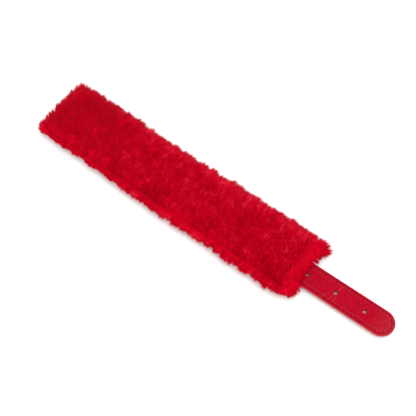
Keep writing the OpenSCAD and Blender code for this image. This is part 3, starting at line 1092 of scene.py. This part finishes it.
def straps():
    strap_start()
    for k in range(1, 4):
        piece = strap_stretch(f"strap_{k + 1}", MIDS[k - 1], MIDS[k])
        finish_strap(piece, k, [f"strap_face_{k + 1}", f"strap_backing_{k + 1}"])
    tongue = tongue_stretch("strap_5", MIDS[3])
    for place in HOLES:
        cut_with(tongue, rod("hole_cutter", (place[0], place[1], (STRAP_BOTTOM + STRAP_TOP) / 2), HOLE_R, 8))
    tongue.data.shade_smooth()
    finish_strap(tongue, 4, ["strap_face_5", "strap_backing_5", "tongue_face", "tongue_backing"])


# --- leather trim ----------------------------------------------------------------------------

KEEPER_GROOVE = 1.3     # creased line inside the keeper's edges
TAB_GROOVE = 1.8        # and inside the D-ring tab's


def keeper():
    """Keeper band: a strip bent into a rounded loop round the strap."""
    low, high = node_box("keeper_loop")
    hy, hz = (high[1] - low[1] - PLY) / 2, (high[2] - low[2] - PLY) / 2
    r = 1.1
    mid_z, mid_x = (low[2] + high[2]) / 2, (low[0] + high[0]) / 2
    spots, ups = [], []
    for qy, qz, a0 in ((1, 1, 0), (-1, 1, 90), (-1, -1, 180), (1, -1, 270)):
        for a in np.radians(np.linspace(a0, a0 + 90, 7)):
            spots.append((mid_x, qy * (hy - r) + r * math.cos(a), mid_z + qz * (hz - r) + r * math.sin(a)))
            ups.append((0, math.cos(a), math.sin(a)))
    sides = [(1, 0, 0)] * len(spots)
    loop = sweep("keeper_band", np.array(spots), np.array(ups), np.array(sides, float),
                 cross_section(high[0] - low[0], KEEPER_GROOVE), closed=True)
    paint(loop, leather, edge_paint)
    paint_edges(loop, lambda normal: abs(normal.x) > 0.75)
    keep_rest_place(loop)
    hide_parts("keeper_loop")
    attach(loop, "panel_1")


def ring_tab():
    low, high = node_box("d_ring_tab")
    path = fold_path(RING[0], RING[2], RING_R, high[0], high[0])
    tab = fold_sweep("d_ring_tab_leather", path, cross_section(high[1] - low[1], TAB_GROOVE))
    paint(tab, leather, edge_paint)
    paint_edges(tab, lambda normal: abs(normal.y) > 0.75)
    keep_rest_place(tab)
    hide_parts("d_ring_tab")
    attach(tab, "panel_3")


# --- stitches --------------------------------------------------------------------------------

def stitch_mesh(name, spots, headings, faces_up, length, radius):
    """Row of separate stitches: each dives into the leather at both ends and stands up in the middle."""
    along = np.array([-0.5, -0.40, -0.2, 0.0, 0.2, 0.40, 0.5]) * length
    lift = np.array([-0.9, -0.1, 0.45, 0.6, 0.45, -0.1, -0.9]) * radius
    girth = np.array([0.55, 0.9, 1.0, 1.0, 1.0, 0.9, 0.55]) * radius
    sides = 6
    points, faces = [], []
    for p, h, u in zip(spots, headings, faces_up):
        s = np.cross(u, h)
        base = len(points)
        for a, l, g in zip(along, lift, girth):
            centre = p + h * a + u * l
            for q in range(sides):
                t = 2 * math.pi * q / sides
                points.append(centre + g * (math.cos(t) * s + math.sin(t) * u))
        for i in range(len(along) - 1):
            low, high = base + i * sides, base + (i + 1) * sides
            for q in range(sides):
                q2 = (q + 1) % sides
                faces.append((low + q, low + q2, high + q2, high + q))
        faces += [tuple(base + q for q in reversed(range(sides))),
                  tuple(base + (len(along) - 1) * sides + q for q in range(sides))]
    obj = make_mesh(name, points, faces)
    paint(obj, thread)
    keep_rest_place(obj)
    return obj


def walk(path, pitch):
    """Evenly spaced places and headings along a polyline."""
    path = np.asarray(path, float)
    leg = np.linalg.norm(np.diff(path, axis=0), axis=1)
    run = np.concatenate([[0], np.cumsum(leg)])
    at = (np.arange(int(run[-1] / pitch)) + 0.5) * run[-1] / int(run[-1] / pitch)
    i = np.clip(np.searchsorted(run, at, side="right") - 1, 0, len(leg) - 1)
    share = ((at - run[i]) / leg[i])[:, None]
    spots = path[i] * (1 - share) + path[i + 1] * share
    headings = (path[i + 1] - path[i]) / leg[i][:, None]
    return spots, headings


def stitch_row(path, z, up, pitch=3.8):
    path = [(x, y, z) for x, y in path]
    spots, headings = walk(path, pitch)
    return spots, headings, np.tile([0.0, 0.0, up], (len(spots), 1))


def split_stitches(name, rows, edges, first_bend, length=2.7, radius=0.34):
    """Makes one piece of stitches per stretch between edges and bakes each one's placement."""
    spots, headings, ups = (np.concatenate(part) for part in zip(*rows))
    for k in range(len(edges) - 1):
        mine = (spots[:, 0] >= edges[k]) & (spots[:, 0] < edges[k + 1])
        if not mine.any():
            continue
        row = stitch_mesh(f"{name}_{k + 1}", spots[mine], headings[mine], ups[mine], length, radius)
        bend(row, first_bend + k)


def strap_stitches():
    y = STRAP_HALF - STITCH_IN
    start = node_box("keeper_loop")[1][0] + 2
    arc = [(TIP_CENTRE + y * math.sin(a), y * math.cos(a)) for a in np.linspace(0, math.pi, 25)]
    outline = [(start, y)] + arc + [(start, -y)]
    visible = [(BAND_R - 4, y)] + arc + [(BAND_R - 4, -y)]
    under = stitch_row(outline, STRAP_BOTTOM + 0.16, -1)
    over = stitch_row(visible, STRAP_TOP - 0.16, 1)
    split_stitches("strap_stitches", [under, over], [-1e9] + MIDS[:4] + [1e9], 0)


def band_stitches():
    inset, r = STITCH_IN, BAND_CORNER - STITCH_IN
    hx0, hx1, hy = BAND_L + inset, BAND_R - inset, BAND_HALF - inset
    path = []
    centres = ((hx1 - r, hy - r), (hx0 + r, hy - r), (hx0 + r, -hy + r), (hx1 - r, -hy + r))
    for a0, (cx, cy) in zip((0, 90, 180, 270), centres):
        turn = np.radians(np.linspace(a0, a0 + 90, 7))
        path += [(cx + r * math.cos(a), cy + r * math.sin(a)) for a in turn]
    path.append(path[0])
    row = stitch_row(path, BAND_BOTTOM + 0.2, -1)
    split_stitches("band_stitches", [row], [-1e9] + MIDS[:3] + [1e9], 0, 3.0, 0.28)


# --- metal -----------------------------------------------------------------------------------

def metal_parts():
    rivets = [f"{place}_rivet_{part}" for place in ("buckle", "d_ring", "end") for part in ("posts", "backs")]
    for name in ["buckle_frame", "buckle_prong", "buckle_roller", "d_ring"] + rivets:
        obj = frame["nodes"][name]
        obj.data.materials.clear()
        paint(obj, nickel)


# --- stage -----------------------------------------------------------------------------------

def floor():
    mat, tree, shader = new_material("floor_paper", (0.93, 0.93, 0.93), 0.9)
    place = add(tree, "ShaderNodeTexCoord").outputs["Object"]
    fill(shader, {"Base Color": ramp(tree, noise(tree, place, 6.0), [(0.3, 0.92), (0.7, 0.94)])})
    size = 12000
    corners = [(-size, -size, 0), (size, -size, 0), (size, size, 0), (-size, size, 0)]
    obj = make_mesh("floor", corners, [(0, 1, 2, 3)])
    obj.location.z = cad_box[0][2]
    paint(obj, mat)


def area_light(name, place, size, watts):
    """Round light aimed at the origin."""
    light = bpy.data.lights.new(name, "AREA")
    light.shape = "DISK"
    light.size = size
    light.energy = watts
    obj = put_in_scene(name, light)
    obj.location = place
    obj.rotation_euler = (-Vector(place)).to_track_quat("-Z", "Y").to_euler()


def lights():
    world = bpy.data.worlds.new("studio")
    bpy.context.scene.world = world
    world.use_nodes = True
    fill(world.node_tree.nodes["Background"], {"Color": (1, 1, 1, 1), "Strength": 1.02})
    area_light("key", place=(0.35, -0.3, 1.25), size=1.0, watts=10.0)
    area_light("fill", place=(-0.2, 0.6, 1.2), size=1.2, watts=1.5)


def camera():
    azimuth, elevation, away = math.radians(36.9), math.radians(60.0), 0.793
    target = Vector((-0.0068, 0.0013, 0.0079))
    back = Vector((math.sin(azimuth) * math.cos(elevation), -math.cos(azimuth) * math.cos(elevation),
                   math.sin(elevation)))
    cam = bpy.data.cameras.new("camera")
    cam.sensor_width = 36
    cam.angle = math.radians(27.1)
    obj = put_in_scene("camera", cam)
    obj.location = target + back * away
    obj.rotation_euler = back.to_track_quat("Z", "Y").to_euler()
    bpy.context.scene.camera = obj


outer_bands()
foam_sheets()
plush_backings()
plush_pile()
straps()
keeper()
ring_tab()
strap_stitches()
band_stitches()
metal_parts()
floor()
lights()
camera()
bpy.context.scene.view_settings.view_transform = "Standard"
